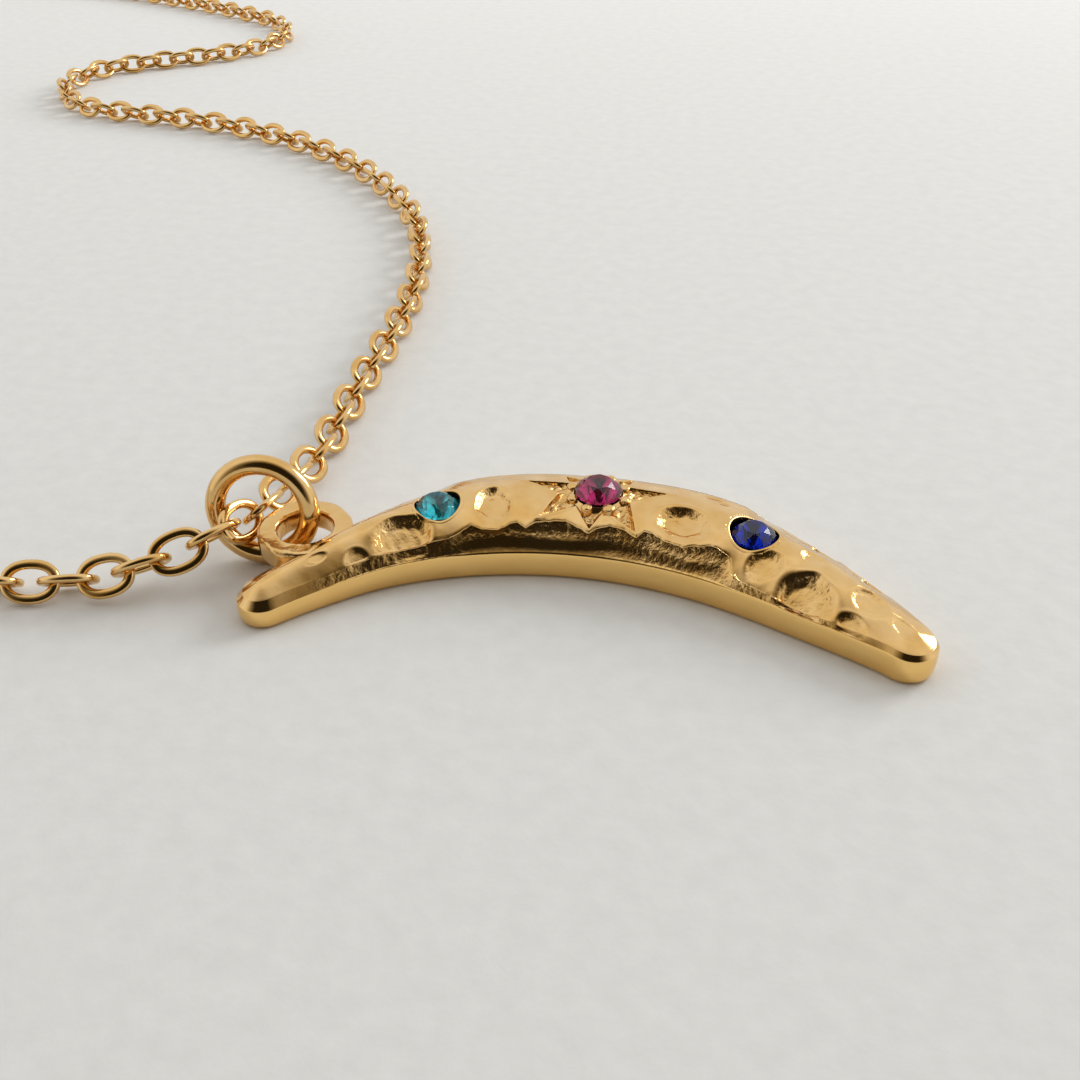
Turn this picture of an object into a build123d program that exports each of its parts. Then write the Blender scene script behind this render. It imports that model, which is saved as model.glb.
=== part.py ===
# Crescent moon pendant with three round stones, on a fine cable chain, lying on a flat surface.
# Millimetres. The origin is the middle of the crescent's flat back, on the surface that it lies on.
# +Z is up, +X runs from the tip with the loop to the plain tip, +Y is towards the convex edge.
import os
from math import asin, ceil, cos, degrees, hypot, pi, radians, sin, sqrt, tan

from build123d import *

# Crescent: a flat back, an upright band, a leaning bevel and a crowned top
moon_radius = 19.3        # of the arc along the middle of the crescent
moon_half_angle = 54.3    # from the middle of the crescent to the centre of the first tip
moon_width = 6.3
moon_height = 3.5
band_height = 1.65
bevel_lean = 35.0         # of the bevel, from upright
bevel_share = 0.72        # of the rise from the band to the crest that the bevel takes

# Sections along the crescent, as shares of the sizes above:
# half angle, middle radius, width, height, band
moon_sections = [
    (-1.000, 1.010, 0.413, 0.586, 0.70),
    (-0.865, 1.001, 0.484, 0.700, 0.76),
    (-0.663, 1.005, 0.643, 0.829, 0.88),
    (-0.497, 1.010, 0.802, 0.914, 0.94),
    (-0.331, 1.013, 0.937, 0.977, 0.97),
    (0.000, 0.998, 0.992, 1.000, 1.00),
    (0.368, 0.990, 0.976, 0.977, 1.00),
    (0.534, 0.982, 0.889, 0.920, 0.97),
    (0.727, 0.979, 0.730, 0.814, 0.94),
    (0.884, 0.990, 0.548, 0.691, 0.91),
    (0.967, 1.000, 0.437, 0.600, 0.91),
]

# Hammered dents: half angle share, place across (0 middle, 1 outer edge), then length,
# width and depth as shares of moon_width, and the turn of the long axis in degrees
moon_dents = [
    (-0.93, -0.10, 0.20, 0.11, 0.014, 10),
    (-0.83, -0.05, 0.26, 0.13, 0.016, 10),
    (-0.72, -0.35, 0.22, 0.18, 0.030, 0),
    (-0.575, -0.30, 0.50, 0.36, 0.065, -25),
    (-0.265, -0.28, 0.46, 0.34, 0.055, 80),
    (-0.345, -0.74, 0.26, 0.20, 0.045, 60),
    (0.245, -0.42, 0.48, 0.36, 0.060, 50),
    (0.355, 0.10, 0.16, 0.12, 0.018, 0),
    (0.520, -0.62, 0.36, 0.26, 0.045, 20),
    (0.630, 0.02, 0.26, 0.18, 0.026, 20),
    (0.645, -0.62, 0.44, 0.32, 0.070, 0),
    (0.785, -0.08, 0.30, 0.18, 0.032, -35),
    (0.800, -0.62, 0.22, 0.14, 0.022, 0),
    (0.890, -0.05, 0.26, 0.12, 0.022, -20),
]

# Star in relief around the middle stone: a raised rim and a sunk, rough floor
star_size = 4.4           # from its centre to the tip of its longest ray
star_waist = 1.75         # from its centre to the notches between the rays
star_rim = 0.20
star_rise = 0.14
star_depth = 0.22
star_foot = 2.3           # height that the rays hang down to at the edges
star_rays = [             # direction in degrees from +X, length as a share of star_size
    (4, 0.94),
    (49, 0.66),
    (92, 0.62),
    (135, 0.70),
    (172, 1.00),
    (217, 0.90),
    (262, 0.74),
    (306, 0.84),
]
star_boss_width = 3.3     # round boss that carries the middle stone
star_boss_height = 0.10   # over the crest of the crescent
bead_width = 0.54
bead_rise = 0.30          # of the beads over the boss

# Round stones: a table of eight sides, sixteen crown facets, a pavilion of eight
crown_share = 0.20        # heights as shares of the stone's width
girdle_share = 0.07
pavilion_share = 0.43
table_share = 0.56        # of the table, corner to corner
facets = 8
stone_gap = 0.05          # between a stone and the metal around it
side_stone_angle = 25.0
teal_width = 2.30
ruby_width = 2.50
sapphire_width = 2.25
teal_seat_slack = 0.10    # how much wider each pit is than its stone
ruby_seat_slack = 0.10
sapphire_seat_slack = 0.40
side_girdle_sink = 0.42   # from the crest beside the stone down to the top of its girdle
ruby_girdle_lift = 0.02   # of the girdle over the boss

# Cast loop on the convex edge, near the first tip
loop_angle = -43.5
loop_stand = 0.44         # of the loop's centre beyond the crescent's outer edge
loop_hole = 2.84
loop_wall = 1.03
loop_thickness = 1.25
loop_round = 0.34
loop_clearance = 0.22     # between the loop's underside and the jump ring below it

# Jump ring: stands in the loop, leaning back
ring_width = 6.00
ring_wire = 1.05
ring_lean = 12.6
ring_facing = -86.2       # direction of the ring's axis, from +X
ring_pass = (-0.12, 0.42) # where its wire crosses the loop's hole, from the hole's centre

# Cable chain: flat oval links, each a quarter turn from the next
link_length = 3.08
link_width = 2.30
link_wire = 0.45
link_thickness = 0.38
link_play = 0.24          # between the bars of two links that are pulled straight
link_roll = 45.0
floor_gap = 0.02
ring_link_roll = 12.6     # more roll of the link that crosses the ring

# Clasp: a plain barrel with an eye at each end, where the two halves of the chain meet
clasp_length = 8.0
clasp_round = 0.55
eye_hole = 1.25
eye_wire = 0.55
eye_play = 0.18           # between the eye and the bar of the last link
clasp_place = 0.50        # share of the way round from the ring

# Route of the chain, once round: x and y from the ring's centre, and lift over its height at rest.
# It starts at the ring, runs along the bends at the back and comes home at the front.
chain_route = [
    (-1.06, -0.44, 1.44),
    (-0.57, 1.40, 1.14),
    (-0.32, 3.30, 0.86),
    (-0.09, 5.21, 0.54),
    (0.10, 7.12, 0.25),
    (0.27, 9.04, 0.04),
    (0.3, 12.3, 0),
    (0.4, 18.0, 0),
    (0.7, 24.3, 0),
    (0.6, 31.5, 0),
    (-0.5, 39.2, 0),
    (-2.8, 46.3, 0),
    (-6.6, 52.9, 0),
    (-11.6, 58.9, 0),
    (-17.5, 63.8, 0),
    (-24.3, 67.5, 0),
    (-31.7, 69.9, 0),
    (-39.0, 71.3, 0),
    (-44.7, 72.9, 0),
    (-48.9, 76.9, 0),
    (-50.8, 82.3, 0),
    (-49.2, 87.7, 0),
    (-44.8, 91.5, 0),
    (-38.8, 95.5, 0),
    (-34.3, 100.7, 0),
    (-33.5, 107.1, 0),
    (-37.1, 113.3, 0),
    (-43.9, 118.1, 0),
    (-53.9, 123.5, 0),
    (-66.9, 128.9, 0),
    (-81.9, 131.1, 0),
    (-97.9, 128.7, 0),
    (-112.9, 120.1, 0),
    (-124.3, 106.5, 0),
    (-129.9, 89.5, 0),
    (-130.1, 71.5, 0),
    (-125.3, 53.5, 0),
    (-115.5, 36.1, 0),
    (-100.9, 20.9, 0),
    (-83.9, 9.7, 0),
    (-64.9, 2.3, 0),
    (-44.9, -2.3, 0),
    (-26.9, -4.9, 0),
    (-15.9, -5.5, 0),
    (-10.8, -5.0, 0),
    (-8.84, -4.71, 0.06),
    (-6.95, -4.40, 0.32),
    (-5.13, -3.96, 0.85),
    (-3.41, -3.22, 1.32),
    (-1.88, -2.14, 1.79),
]
route_steps = 24          # straight steps in each stretch of the route when it is measured

os.makedirs("parts", exist_ok=True)
arc_centre_y = -next(middle for share, middle, *_ in moon_sections if share == 0) * moon_radius


def moon_point(angle, radius, height=0.0):
    """A point by its angle from +Y about the centre of the crescent's arc."""
    turn = radians(angle)
    return Vector(radius * sin(turn), arc_centre_y + radius * cos(turn), height)


def moon_plane(angle, radius):
    """An upright plane across the crescent: its x runs outwards and its y up."""
    turn = radians(angle)
    return Plane(moon_point(angle, radius), x_dir=(sin(turn), cos(turn), 0), z_dir=(cos(turn), -sin(turn), 0))


def section_sizes(section):
    """Angle, middle radius, half width, height and band height of a row of the table."""
    angle, middle, width, height, band = section
    return (
        angle * moon_half_angle,
        middle * moon_radius,
        width * moon_width / 2,
        height * moon_height,
        band * band_height,
    )


def interpolate(share, column):
    """A column of the section table between its rows, by the share of the half angle."""
    rows = moon_sections
    upper = next((i for i in range(1, len(rows)) if rows[i][0] >= share), len(rows) - 1)
    before, after = rows[upper - 1], rows[upper]
    part = (share - before[0]) / (after[0] - before[0])
    return before[column] + part * (after[column] - before[column])


def section_at(share):
    """A row of the section table for any share of the half angle."""
    return (share,) + tuple(interpolate(share, column) for column in range(1, 5))


def moon_outline(section, grow, half=False):
    """Draw one cross-section: band, bevel and crown, grown outwards above the band."""
    angle, middle, reach, height, band = section_sizes(section)
    rise = bevel_share * (height - band)
    shoulder = reach - rise * tan(radians(bevel_lean)) + grow
    foot = reach + grow
    knee = band + rise + grow
    top = height + grow
    with BuildSketch(moon_plane(angle, middle)) as outline:
        with BuildLine():
            if half:
                Polyline((0, top), (0, 0), (foot, 0), (foot, band), (shoulder, knee))
                crown_radius = (shoulder**2 + (top - knee) ** 2) / (2 * (top - knee))
                RadiusArc((shoulder, knee), (0, top), -crown_radius)
            else:
                Polyline(
                    (-shoulder, knee), (-foot, band), (-foot, 0), (foot, 0), (foot, band), (shoulder, knee)
                )
                ThreePointArc((shoulder, knee), (0, top), (-shoulder, knee))
        make_face()
    return outline


def crescent(grow, first, last):
    """The crescent between two rows of its table, with its upper faces moved out by grow."""
    with BuildPart() as body:
        outlines = [moon_outline(section, grow) for section in moon_sections[first:last]]
        loft([outline.sketch for outline in outlines])
    return body.part


def crest_height(share):
    return interpolate(share, 3) * moon_height


def crown_height(share, across):
    """Height of the smooth top at a place across the crescent, and the slope there."""
    _, _, reach, height, band = section_sizes(section_at(share))
    rise = bevel_share * (height - band)
    shoulder = reach - rise * tan(radians(bevel_lean))
    sag = height - band - rise
    crown_radius = (shoulder**2 + sag**2) / (2 * sag)
    offset = across * reach
    if abs(offset) <= shoulder:
        return height - crown_radius + sqrt(crown_radius**2 - offset**2), asin(offset / crown_radius)
    slope = pi / 2 - radians(bevel_lean)
    return band + (reach - abs(offset)) * tan(slope), slope if offset > 0 else -slope


def star_outline(inset):
    """Corners of the star, with its tips and notches drawn in by the width of a rim."""
    corners = []
    for ray, (angle, share) in enumerate(star_rays):
        following = star_rays[(ray + 1) % len(star_rays)][0]
        if following < angle:
            following += 360
        notch = (angle + following) / 2
        reach = share * star_size - 3.2 * inset
        corners.append((reach * cos(radians(angle)), reach * sin(radians(angle))))
        waist = star_waist - inset
        corners.append((waist * cos(radians(notch)), waist * sin(radians(notch))))
    return corners


def stone(width):
    """A round stone with its girdle's top at z = 0: table, crown facets, girdle and pavilion."""
    radius = width / 2
    crown = crown_share * width
    girdle = girdle_share * width
    depth = pavilion_share * width
    table = table_share * radius
    half_side = radians(180 / facets)
    with BuildPart() as blank:
        with BuildSketch(Plane.XY.offset(-girdle - depth)):
            Circle(radius)
        extrude(amount=crown + girdle + depth)
        for facet in range(facets):
            toward = 2 * half_side * facet
            # A facet through a side of the table, down to the girdle
            cut = crown_facet(toward + half_side, radius, 0, table * cos(half_side), crown)
            split(bisect_by=cut, keep=Keep.BOTTOM)
            # A facet through a corner of the table, down to a side of the girdle
            cut = crown_facet(toward, radius * cos(half_side), 0, table, crown)
            split(bisect_by=cut, keep=Keep.BOTTOM)
            # A facet of the pavilion, from the girdle to the point
            cut = crown_facet(toward, radius * cos(half_side), -girdle, 0, -girdle - depth)
            split(bisect_by=cut, keep=Keep.BOTTOM)
    return blank.part


def crown_facet(turn, low_radius, low_height, high_radius, high_height):
    """A plane through two points of a half section, facing away from the stone's middle."""
    run = low_radius - high_radius
    rise = high_height - low_height
    outward = abs(rise) / hypot(run, rise)
    upward = run / hypot(run, rise) * (1 if rise > 0 else -1)
    origin = (low_radius * cos(turn), low_radius * sin(turn), low_height)
    normal = (outward * cos(turn), outward * sin(turn), upward)
    return Plane(origin, x_dir=(-sin(turn), cos(turn), 0), z_dir=normal)


def stone_pit(width, slack):
    """The hollow that a stone sits in: an upright wall and a cone that clears the pavilion."""
    radius = width / 2 + slack / 2
    girdle = girdle_share * width
    depth = pavilion_share * width + stone_gap
    with BuildPart() as pit:
        with BuildSketch(Plane.XZ):
            with BuildLine():
                Polyline(
                    (0, moon_height),
                    (0, -girdle - depth),
                    (radius * 0.12, -girdle - depth),
                    (radius, -girdle - stone_gap),
                    (radius, moon_height),
                    close=True,
                )
            make_face()
        revolve(axis=Axis.Z)
    return pit.part


def dent_tool(length, width, depth):
    """A long round body that dips into a flat face by depth, over length and width."""
    ball = (width**2 / 4 + depth**2) / (2 * depth)
    reach = length / width * ball
    with BuildPart() as tool:
        with BuildSketch():
            Ellipse(reach, ball)
            split(bisect_by=Plane.XZ)
        revolve(axis=Axis.X)
    return tool.part, ball - depth


# The places of the three stones
teal_share = -side_stone_angle / moon_half_angle
sapphire_share = side_stone_angle / moon_half_angle
teal_point = moon_point(-side_stone_angle, interpolate(teal_share, 1) * moon_radius)
sapphire_point = moon_point(side_stone_angle, interpolate(sapphire_share, 1) * moon_radius)
ruby_point = moon_point(0, interpolate(0, 1) * moon_radius)
teal_height = crest_height(teal_share) - side_girdle_sink
sapphire_height = crest_height(sapphire_share) - side_girdle_sink
boss_top = moon_height + star_boss_height
ruby_height = boss_top + ruby_girdle_lift

# The loop stands over the jump ring's wire, which passes under its wall
loop_share = loop_angle / moon_half_angle
loop_edge = interpolate(loop_share, 1) * moon_radius + interpolate(loop_share, 2) * moon_width / 2
loop_point = moon_point(loop_angle, loop_edge + loop_stand)
loop_bottom = ring_wire + floor_gap + loop_clearance
loop_middle = loop_bottom + loop_thickness / 2

# Crescent moon, one casting with its loop, star, pits and dents
smooth_body = crescent(0, 0, len(moon_sections))
raised_body = crescent(star_rise, 2, 8)
sunk_body = crescent(-star_depth, 2, 8)

with BuildPart() as star_metal:
    with BuildSketch(Plane(ruby_point + Vector(0, 0, star_foot))):
        Polygon(*star_outline(0), align=None)
    extrude(amount=moon_height)
    add(raised_body, mode=Mode.INTERSECT)

with BuildPart() as star_hollow:
    with BuildSketch(Plane(ruby_point + Vector(0, 0, star_foot))):
        Polygon(*star_outline(star_rim), align=None)
    extrude(amount=moon_height)
    add(sunk_body, mode=Mode.SUBTRACT)

with BuildPart() as bead:
    with BuildSketch(Plane.XZ):
        with BuildLine():
            Polyline(
                (0, -bead_rise),
                (bead_width / 2, -bead_rise),
                (bead_width / 2, bead_rise * 0.3),
                (bead_width * 0.42, bead_rise * 0.72),
                (bead_width * 0.22, bead_rise),
                (0, bead_rise),
                close=True,
            )
        make_face()
    revolve(axis=Axis.Z)

# Boss and beads that hold the middle stone
with BuildPart() as setting:
    with Locations(ruby_point + Vector(0, 0, band_height)):
        Cylinder(star_boss_width / 2, boss_top - band_height, align=(Align.CENTER, Align.CENTER, Align.MIN))
    with Locations(ruby_point + Vector(0, 0, boss_top)):
        with PolarLocations(ruby_width / 2 + bead_width * 0.4, len(star_rays), start_angle=26):
            add(bead.part)

with BuildPart() as crescent_moon:
    add(smooth_body)
    # Each tip is the end section turned half round
    for end, turn in ((0, 180), (-1, -180)):
        tip = section_sizes(moon_sections[end])
        tip_sketch = moon_outline(moon_sections[end], 0, half=True)
        pivot = Axis(moon_point(tip[0], tip[1]), (0, 0, 1))
        revolve(tip_sketch.sketch, axis=pivot, revolution_arc=turn)
    # Round cast loop: the crescent's edge closes off a part of its hole
    loop_plane = Plane(loop_point + Vector(0, 0, loop_middle), x_dir=(1, 0, 0), z_dir=(0, -1, 0))
    with BuildSketch(loop_plane):
        with Locations(((loop_hole + loop_wall) / 2, 0)):
            RectangleRounded(loop_wall, loop_thickness, loop_round)
    revolve(axis=Axis(loop_point, (0, 0, 1)))
    # Dents, each pressed in square to the top at its place
    for share, across, length, width, depth, turn in moon_dents:
        tool, lift = dent_tool(length * moon_width, width * moon_width, depth * moon_width)
        middle, reach = section_sizes(section_at(share))[1:3]
        height, slope = crown_height(share, across)
        spot = moon_plane(share * moon_half_angle, middle)
        on_top = spot.origin + spot.x_dir * (across * reach) + Vector(0, 0, height)
        spot = Plane(on_top, spot.x_dir, spot.z_dir)
        # The plane's y leans outwards with the slope of the top, and its z runs along the arc
        spot = spot.rotated((0, 0, -degrees(slope)))
        spot = Plane(spot.origin + spot.y_dir * lift, x_dir=spot.z_dir, z_dir=spot.y_dir)
        with Locations(spot.rotated((0, 0, turn))):
            add(tool, mode=Mode.SUBTRACT)
    add(star_metal.part)
    add(star_hollow.part, mode=Mode.SUBTRACT)
    add(setting.part)
    # Pits for the stones
    for point, height, width, slack in (
        (teal_point, teal_height, teal_width, teal_seat_slack),
        (ruby_point, ruby_height, ruby_width, ruby_seat_slack),
        (sapphire_point, sapphire_height, sapphire_width, sapphire_seat_slack),
    ):
        with Locations(point + Vector(0, 0, height)):
            add(stone_pit(width, slack), mode=Mode.SUBTRACT)
crescent_moon.part.label = "crescent_moon"
export_step(crescent_moon.part, "parts/crescent_moon.step")

for name, width, point, height in (
    ("teal_stone", teal_width, teal_point, teal_height),
    ("ruby_stone", ruby_width, ruby_point, ruby_height),
    ("sapphire_stone", sapphire_width, sapphire_point, sapphire_height),
):
    with BuildPart() as cut_stone:
        with Locations(point + Vector(0, 0, height)):
            add(stone(width))
    cut_stone.part.label = name
    export_step(cut_stone.part, f"parts/{name}.step")

# Jump ring: its wire goes down through the loop's hole and under the loop's wall
ring_radius = (ring_width - ring_wire) / 2
ring_height = floor_gap + ring_wire / 2 + ring_radius * cos(radians(ring_lean))
facing = radians(ring_facing)
lean = radians(ring_lean)
ring_axis = Vector(cos(facing) * cos(lean), sin(facing) * cos(lean), sin(lean))
ring_across = Vector(-sin(facing), cos(facing), 0)
ring_up = ring_axis.cross(ring_across)
drop = asin((ring_height - loop_middle) / (ring_radius * cos(lean)))
ring_crossing = loop_point + Vector(ring_pass[0], ring_pass[1], loop_middle)
ring_centre = ring_crossing - ring_across * (ring_radius * cos(drop)) + ring_up * (ring_radius * sin(drop))

with BuildPart() as jump_ring:
    with BuildSketch(Plane(ring_centre, x_dir=ring_across, z_dir=ring_axis.cross(ring_across) * -1)):
        with Locations((ring_radius, 0)):
            Circle(ring_wire / 2)
    revolve(axis=Axis(ring_centre, ring_axis))
jump_ring.part.label = "jump_ring"
export_step(jump_ring.part, "parts/jump_ring.step")

# Chain
link_rest = floor_gap + (link_width * sin(radians(link_roll)) + link_thickness * cos(radians(link_roll))) / 2


def measured_route():
    """Points close together along the smooth closed route, each with its distance from the start."""
    count = len(chain_route)
    points = [Vector(ring_centre.X + x, ring_centre.Y + y, lift + link_rest) for x, y, lift in chain_route]
    spans = [(points[(i + 1) % count] - points[i]).length for i in range(count)]
    slopes = []
    for i in range(count):
        ahead = (points[(i + 1) % count] - points[i]) / spans[i]
        behind = (points[i] - points[i - 1]) / spans[i - 1]
        slopes.append((ahead * spans[i - 1] + behind * spans[i]) / (spans[i] + spans[i - 1]))
    places = []
    for i in range(count):
        begin, end = points[i], points[(i + 1) % count]
        leave, arrive = slopes[i] * spans[i], slopes[(i + 1) % count] * spans[i]
        for step in range(route_steps):
            t = step / route_steps
            place = begin * (2 * t**3 - 3 * t**2 + 1) + leave * (t**3 - 2 * t**2 + t)
            places.append(place + end * (3 * t**2 - 2 * t**3) + arrive * (t**3 - t**2))
    places.append(points[0])
    distances = [0.0]
    for before, after in zip(places, places[1:]):
        distances.append(distances[-1] + (after - before).length)
    return places, distances


route_places, route_distances = measured_route()
route_length = route_distances[-1]


def route_at(distance):
    """The place on the route at a distance from the ring, either way round."""
    along = distance % route_length
    upper = next(i for i, reached in enumerate(route_distances) if reached > along)
    before, after = route_distances[upper - 1], route_distances[upper]
    part = (along - before) / (after - before)
    return route_places[upper - 1] + (route_places[upper] - route_places[upper - 1]) * part


def rolled_plane(origin, toward, roll):
    """A plane with its x along a direction and its z turned from upright, about that x, by a roll."""
    forward = toward.normalized()
    right = forward.cross(Vector(0, 0, 1)).normalized()
    up = right.cross(forward)
    return Plane(origin, x_dir=forward, z_dir=up * cos(radians(roll)) + right * sin(radians(roll)))


def link_plane(number):
    """The plane of a link: x along the chain and z square to the link."""
    distance = number * pitch
    chord = route_at(distance + link_length / 2) - route_at(distance - link_length / 2)
    return rolled_plane(route_at(distance), chord, roll_of(number))


with BuildPart() as link:
    with BuildSketch(Plane.XY.offset(-link_thickness / 2)):
        SlotOverall(link_length, link_width)
        SlotOverall(link_length - 2 * link_wire, link_width - 2 * link_wire, mode=Mode.SUBTRACT)
    extrude(amount=link_thickness)

# The links share the way that the clasp leaves, evenly, close to their pulled-out pitch
full_pitch = link_length - 2 * link_wire - link_play
clasp_reach = clasp_length / 2 + eye_hole + eye_wire / 2 - eye_play + link_length / 2 - link_wire
clasp_distance = clasp_place * route_length
right_links = ceil((clasp_distance - clasp_reach) / full_pitch)
left_links = ceil((route_length - clasp_distance - clasp_reach) / full_pitch)
pitch = (route_length - 2 * clasp_reach) / (right_links + left_links)
clasp_distance = clasp_reach + right_links * pitch


def roll_of(number):
    """The roll of a link. Link 0 crosses the ring, and links are numbered both ways from it."""
    if number == 0:
        return link_roll + ring_link_roll
    return link_roll if number % 2 == 0 else -link_roll


def chain(numbers):
    """A run of interlocked links."""
    return Compound(children=[link_plane(number).location * link.part for number in numbers])


chain_right = chain(range(0, right_links + 1))
chain_right.label = "chain_right"
export_step(chain_right, "parts/chain_right.step")

chain_left = chain(range(-left_links, 0))
chain_left.label = "chain_left"
export_step(chain_left, "parts/chain_left.step")

# Clasp: the barrel lies straight between the last links, with its middle at their height
clasp_start = route_at(clasp_distance - clasp_reach)
clasp_end = route_at(clasp_distance + clasp_reach)
clasp_plane = rolled_plane((clasp_start + clasp_end) / 2, clasp_end - clasp_start, 0)
clasp_radius = link_rest - floor_gap
eye_radius = (eye_hole + eye_wire) / 2

with BuildPart() as clasp:
    with BuildSketch(clasp_plane * Plane.XZ):
        with BuildLine():
            half = clasp_length / 2
            Polyline(
                (half, 0),
                (half, clasp_radius - clasp_round),
                (half - clasp_round, clasp_radius),
                (clasp_round - half, clasp_radius),
                (-half, clasp_radius - clasp_round),
                (-half, 0),
                close=True,
            )
        make_face()
    revolve(axis=Axis(clasp_plane.origin, clasp_plane.x_dir))
    # Each eye stands square to the last link of its half of the chain
    for side, last_link in ((-1, right_links), (1, -left_links)):
        eye_plane = rolled_plane(clasp_plane.origin, clasp_plane.x_dir, -roll_of(last_link))
        eye_centre = eye_plane.origin + eye_plane.x_dir * (side * (half + eye_radius))
        with BuildSketch(Plane(eye_centre, x_dir=eye_plane.x_dir, z_dir=eye_plane.y_dir)):
            with Locations((eye_radius, 0)):
                Circle(eye_wire / 2)
        revolve(axis=Axis(eye_centre, eye_plane.z_dir))
clasp.part.label = "clasp"
export_step(clasp.part, "parts/clasp.step")

print("route", round(route_length, 2), "links", right_links + left_links + 1, "pitch", round(pitch, 4))
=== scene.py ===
import bpy
import numpy as np
from mathutils import Matrix, Vector


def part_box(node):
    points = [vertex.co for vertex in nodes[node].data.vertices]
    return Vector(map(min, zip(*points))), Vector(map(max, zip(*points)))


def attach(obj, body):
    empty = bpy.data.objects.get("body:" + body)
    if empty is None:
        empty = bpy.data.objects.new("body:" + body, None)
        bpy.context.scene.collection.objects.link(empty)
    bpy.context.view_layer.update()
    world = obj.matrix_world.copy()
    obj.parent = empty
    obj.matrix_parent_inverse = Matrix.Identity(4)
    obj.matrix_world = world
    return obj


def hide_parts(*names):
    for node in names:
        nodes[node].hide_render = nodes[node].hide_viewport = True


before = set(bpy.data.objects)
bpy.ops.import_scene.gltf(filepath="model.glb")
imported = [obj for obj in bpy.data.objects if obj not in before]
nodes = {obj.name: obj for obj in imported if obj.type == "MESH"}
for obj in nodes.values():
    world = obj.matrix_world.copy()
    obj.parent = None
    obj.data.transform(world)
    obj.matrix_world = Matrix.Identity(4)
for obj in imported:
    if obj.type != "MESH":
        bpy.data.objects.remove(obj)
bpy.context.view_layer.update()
millimetre = 0.001

# Helpers


def smoothStep(edge0, edge1, x):
    # 3t^2 - 2t^3, with t the share of the way from edge0 to edge1
    t = np.clip((x - edge0) / (edge1 - edge0), 0, 1)
    return t * t * (3 - 2 * t)


def smoothTable(x, places, values):
    # Cubic Hermite through the points, with the slope at each as the mean of its two chords
    places, values = np.asarray(places, float), np.asarray(values, float)
    slopes = np.gradient(values, places)
    i = np.clip(np.searchsorted(places, x) - 1, 0, len(places) - 2)
    span = places[i + 1] - places[i]
    t = (x - places[i]) / span
    near = (2 * t**3 - 3 * t**2 + 1) * values[i] + (t**3 - 2 * t**2 + t) * span * slopes[i]
    far = (3 * t**2 - 2 * t**3) * values[i + 1] + (t**3 - t**2) * span * slopes[i + 1]
    return near + far


def bell(x, middle, width):
    # exp(-d^2), with d the distance from the middle in widths
    return np.exp(-(((x - middle) / width) ** 2))


def ripple(x, y, size, seed):
    # Mean of seven sine waves in seeded directions, each of about the given length, between -1 and 1
    random = np.random.default_rng(seed)
    waves = 7
    total = np.zeros_like(x)
    for _ in range(waves):
        turn, phase = random.uniform(0, np.pi), random.uniform(0, 2 * np.pi)
        length = size * random.uniform(0.7, 1.6)
        total += np.sin((x * np.cos(turn) + y * np.sin(turn)) * 2 * np.pi / length + phase)
    return total / waves


def softened(values, passes):
    # Each pass leaves half of a row and takes a quarter of the row before and of the row after it
    for _ in range(passes):
        values = (np.roll(values, 1, 0) + 2 * values + np.roll(values, -1, 0)) / 4
    return values


def superEllipse(turn, halfWidth, halfHeight, power):
    # |x/a|^p + |y/b|^p = 1: x is a cos^(2/p) and y is b sin^(2/p) of the turn, with their signs kept
    across = np.sign(np.cos(turn)) * np.abs(np.cos(turn)) ** (2 / power) * halfWidth
    upward = np.sign(np.sin(turn)) * np.abs(np.sin(turn)) ** (2 / power) * halfHeight
    return across, upward


# One mesh from sheets of points, each (rows, columns, 3) in mm: every four neighbours make a face.
# Points nearer to each other than the weld's reach, in metres, become one
def addSheets(name, sheets, material):
    weldReach = 2e-6
    points, faces, fields, start = [], [], {}, 0
    for sheet in sheets:
        grid = sheet["points"]
        rows, columns = grid.shape[:2]
        index = np.arange(rows * columns).reshape(rows, columns) + start
        if sheet.get("closeRows"):
            index = np.vstack([index, index[:1]])
        if sheet.get("closeColumns"):
            index = np.hstack([index, index[:, :1]])
        here, following = index[:-1], index[1:]
        quads = [here[:, :-1], following[:, :-1], following[:, 1:], here[:, 1:]]
        quads = np.stack(quads, -1).reshape(-1, 4)
        faces.append(quads[:, ::-1] if sheet.get("flip") else quads)
        points.append(grid.reshape(-1, 3))
        for field in ("grain", "shade", "polishAndPaintedSheen"):
            values = np.broadcast_to(sheet.get(field, 0.0), (rows, columns))
            fields.setdefault(field, []).append(values.ravel())
        start += rows * columns
    mesh = bpy.data.meshes.new(name)
    mesh.from_pydata((np.concatenate(points) * millimetre).tolist(), [], np.concatenate(faces).tolist())
    for field, parts in fields.items():
        layer = mesh.attributes.new(field, "FLOAT", "POINT")
        layer.data.foreach_set("value", np.concatenate(parts).astype(np.float32))
    piece = bpy.data.objects.new(name, mesh)
    bpy.context.scene.collection.objects.link(piece)
    weld = piece.modifiers.new("weld", "WELD")
    weld.merge_threshold = weldReach
    graph = bpy.context.evaluated_depsgraph_get()
    finished = piece.evaluated_get(graph)
    welded = bpy.data.meshes.new_from_object(finished, preserve_all_data_layers=True, depsgraph=graph)
    piece.modifiers.clear()
    piece.data = welded
    bpy.data.meshes.remove(mesh)
    welded.name = name
    welded.shade_smooth()
    welded.materials.clear()
    welded.materials.append(material)
    print("piece", name, len(welded.polygons), "faces")
    return piece


# Materials


# Empty material with one principled surface
def newMaterial(name):
    material = bpy.data.materials.new(name)
    material.use_nodes = True
    tree = material.node_tree
    tree.nodes.clear()
    output = tree.nodes.new("ShaderNodeOutputMaterial")
    surface = tree.nodes.new("ShaderNodeBsdfPrincipled")
    tree.links.new(surface.outputs[0], output.inputs[0])
    return material, tree, surface


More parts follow.
